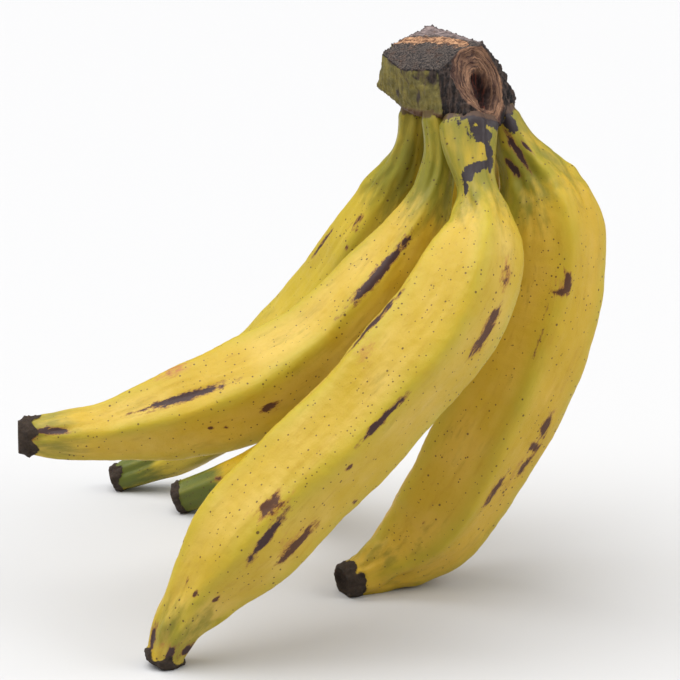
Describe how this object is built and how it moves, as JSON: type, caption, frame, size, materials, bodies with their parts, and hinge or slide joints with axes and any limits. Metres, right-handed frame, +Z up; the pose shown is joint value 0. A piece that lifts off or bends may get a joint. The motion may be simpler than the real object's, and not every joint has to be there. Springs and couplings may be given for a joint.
{
  "type": "hand of plantains",
  "caption": "Hand of thick ridged plantains joined at a dark cut crown, curving down and standing on their blossom ends.",
  "frame": {"origin": "middle of the hand's footprint, on the surface it stands on", "axes": "+Z up from the blossom ends to the crown, -Y towards the finger_front side, -X the way the blossom ends point"},
  "size_m": [0.2464, 0.2436, 0.2367],
  "materials": {
    "crown": "dried, fibrous",
    "peel_front": "waxy satin peel",
    "peel_left": "waxy satin peel",
    "peel_right": "waxy satin peel",
    "peel_back_left": "waxy satin peel",
    "peel_inner": "waxy satin peel"
  },
  "bodies": {
    "root": {"crown": "crown", "finger_front": "peel_front", "finger_left": "peel_left", "finger_right": "peel_right", "finger_back_left": "peel_back_left", "finger_inner": "peel_inner"}
  },
  "joints": []
}
